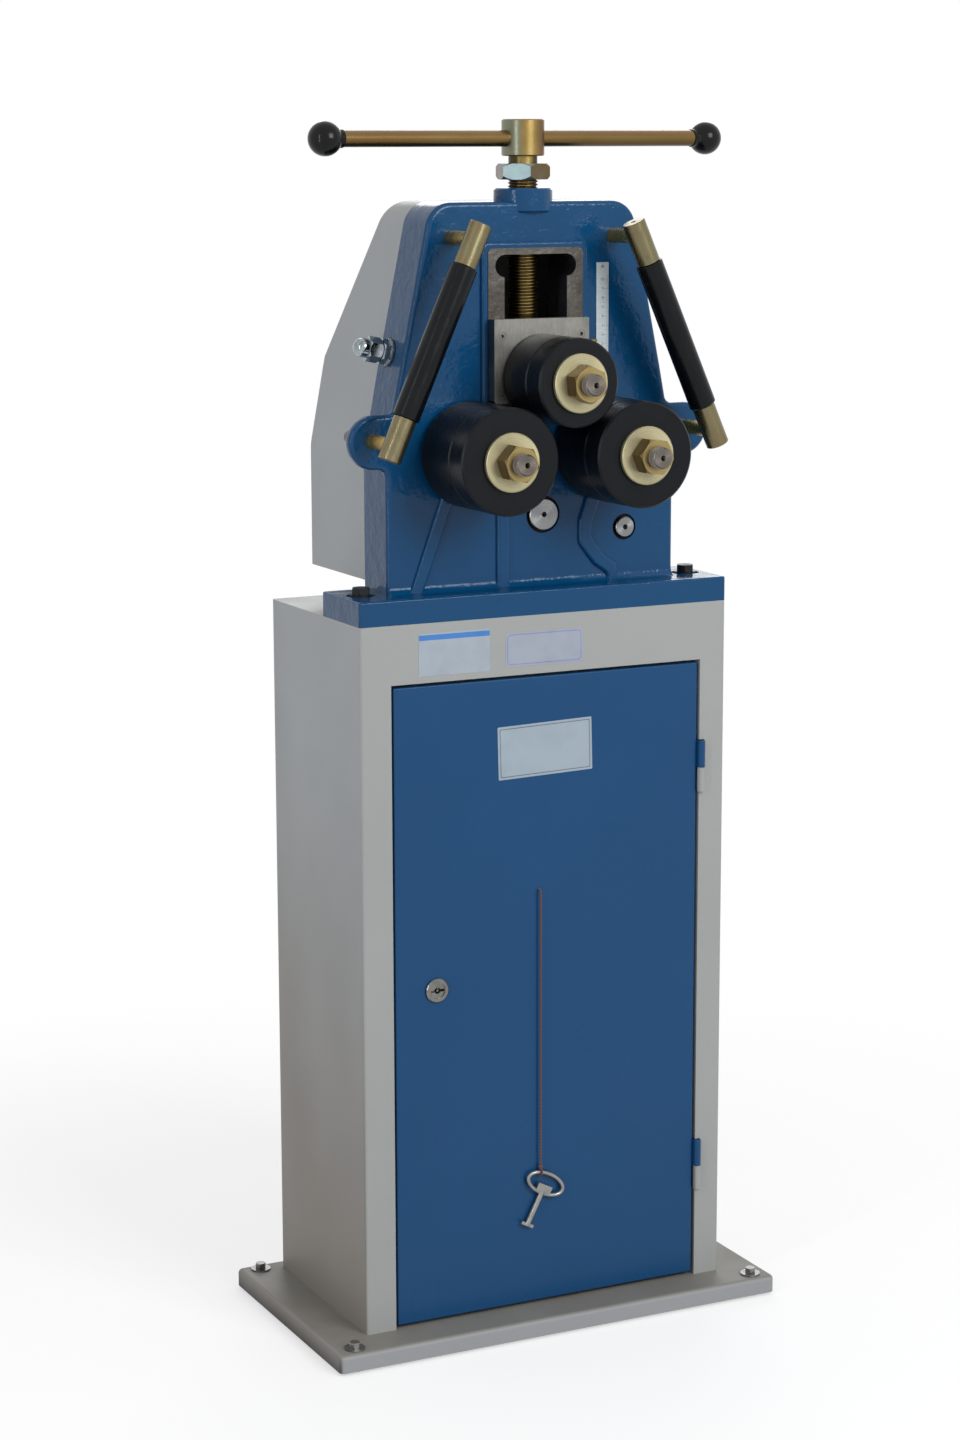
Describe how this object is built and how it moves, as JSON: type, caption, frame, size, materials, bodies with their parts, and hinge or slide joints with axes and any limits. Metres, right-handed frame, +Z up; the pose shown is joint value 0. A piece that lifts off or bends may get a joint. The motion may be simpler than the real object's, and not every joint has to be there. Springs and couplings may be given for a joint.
{
  "type": "ring roller",
  "caption": "Three-roller ring bender on a sheet-metal cabinet: geared lower rollers, screw-fed upper roller with a tee bar, side grips, locking door.",
  "frame": {"origin": "on the floor, at the middle of the whole part's footprint", "axes": "+Z up; -Y is the front with the rollers and the door; +X is right when facing the front"},
  "size_m": [0.552, 0.428, 1.347],
  "materials": {
    "grey_paint": "semi-gloss powder coat",
    "blue_paint": "gloss machine paint",
    "yellow_zinc": "turned steel, yellow passivated",
    "bright_zinc": "bright zinc plate",
    "black_oxide": "black oxide, oiled",
    "ground_steel": "ground",
    "gear_steel": "hobbed",
    "cast_iron": "milled",
    "bronze": "turned",
    "rubber": "matt",
    "black_plastic": "moulded",
    "chrome": "polished",
    "rule_face": "satin with engraved lines",
    "cord": "twisted cord"
  },
  "bodies": {
    "root": {"base_plate": "grey_paint", "rubber_feet": "rubber", "base_bolts": "bright_zinc", "cabinet_shell": "grey_paint", "top_stiffener": "grey_paint", "hinge_lower_halves": "black_oxide", "head_casting": "blue_paint", "head_bolts": "black_oxide", "shaft_bushes": "bronze", "rear_cover": "grey_paint", "cover_posts": "bright_zinc", "cover_screws": "black_oxide", "crank_bearing": "bronze", "scale_rule": "rule_face", "handle_end_blocks": "yellow_zinc", "handle_pins": "yellow_zinc", "handle_rods": "bright_zinc", "handle_grips": "black_plastic", "gib_strip": "bronze", "gib_screw": "black_oxide", "gib_nuts": "chrome"},
    "slide": {"slide_front_plate": "ground_steel", "slide_block": "cast_iron", "slide_screws": "black_oxide", "upper_bushes": "bronze", "scale_pointer": "yellow_zinc"},
    "upper_roller": {"upper_shaft": "ground_steel", "upper_roller": "black_oxide", "upper_roller_ring": "black_oxide", "upper_washer": "yellow_zinc", "upper_nut_and_key": "yellow_zinc"},
    "feed_screw": {"lead_screw": "yellow_zinc", "tee_hub": "yellow_zinc", "screw_lock_nut": "bright_zinc"},
    "tee_bar": {"tee_bar": "yellow_zinc", "ball_knobs": "black_plastic"},
    "left_roller": {"left_shaft": "ground_steel", "left_roller": "black_oxide", "left_roller_ring": "black_oxide", "left_washer": "yellow_zinc", "left_nut_and_key": "yellow_zinc", "left_gear": "gear_steel"},
    "right_roller": {"right_shaft": "ground_steel", "right_roller": "black_oxide", "right_roller_ring": "black_oxide", "right_washer": "yellow_zinc", "right_nut_and_key": "yellow_zinc", "right_gear": "gear_steel"},
    "idler": {"idler_shaft": "ground_steel", "idler_gears": "gear_steel"},
    "drive": {"drive_shaft": "ground_steel", "drive_pinion": "gear_steel"},
    "door": {"door_panel": "blue_paint", "hinge_upper_halves": "blue_paint", "lock_housing": "chrome", "key_cord": "cord", "key": "bright_zinc", "cord_knot": "cord"},
    "lock": {"lock_core": "chrome", "lock_cam": "bright_zinc"}
  },
  "joints": [
    {"name": "screw_turn", "type": "hinge", "parent": "slide", "child": "feed_screw", "pos_m": [0, -0.044, 1.2], "axis": [0, 0, 1], "range_deg": [-180, 5760]},
    {"name": "slide_travel", "type": "slide", "parent": "root", "child": "slide", "axis": [0, 0, 1], "range_m": [-0.00176, 0.05601]},
    {"name": "upper_roller_spin", "type": "hinge", "parent": "slide", "child": "upper_roller", "pos_m": [0, -0.1, 1.072], "axis": [0, 1, 0], "continuous": true},
    {"name": "tee_bar_slide", "type": "slide", "parent": "feed_screw", "child": "tee_bar", "axis": [0.9903, 0.1392, 0], "range_m": [-0.2, 0.2]},
    {"name": "left_roller_spin", "type": "hinge", "parent": "root", "child": "left_roller", "pos_m": [-0.081, -0.1, 0.992], "axis": [0, 1, 0], "continuous": true},
    {"name": "right_roller_spin", "type": "hinge", "parent": "root", "child": "right_roller", "pos_m": [0.081, -0.1, 0.992], "axis": [0, 1, 0], "continuous": true},
    {"name": "idler_spin", "type": "hinge", "parent": "root", "child": "idler", "pos_m": [0.012, 0.03, 0.921], "axis": [0, 1, 0], "continuous": true},
    {"name": "drive_spin", "type": "hinge", "parent": "root", "child": "drive", "pos_m": [0.11365, 0.06, 0.9015], "axis": [0, 1, 0], "continuous": true},
    {"name": "door_swing", "type": "hinge", "parent": "root", "child": "door", "pos_m": [0.1945, -0.106, 0.4], "axis": [0, 0, 1], "range_deg": [0, 150]},
    {"name": "lock_turn", "type": "hinge", "parent": "door", "child": "lock", "pos_m": [-0.1367, -0.09, 0.4076], "axis": [0, 1, 0], "range_deg": [0, 90]}
  ],
  "couplings": [
    {"joint": "slide_travel", "follows": "screw_turn", "m_per_rad": 0.00055704},
    {"joint": "right_roller_spin", "follows": "left_roller_spin", "ratio": 1},
    {"joint": "idler_spin", "follows": "left_roller_spin", "ratio": -2},
    {"joint": "drive_spin", "follows": "left_roller_spin", "ratio": 2.9286}
  ]
}
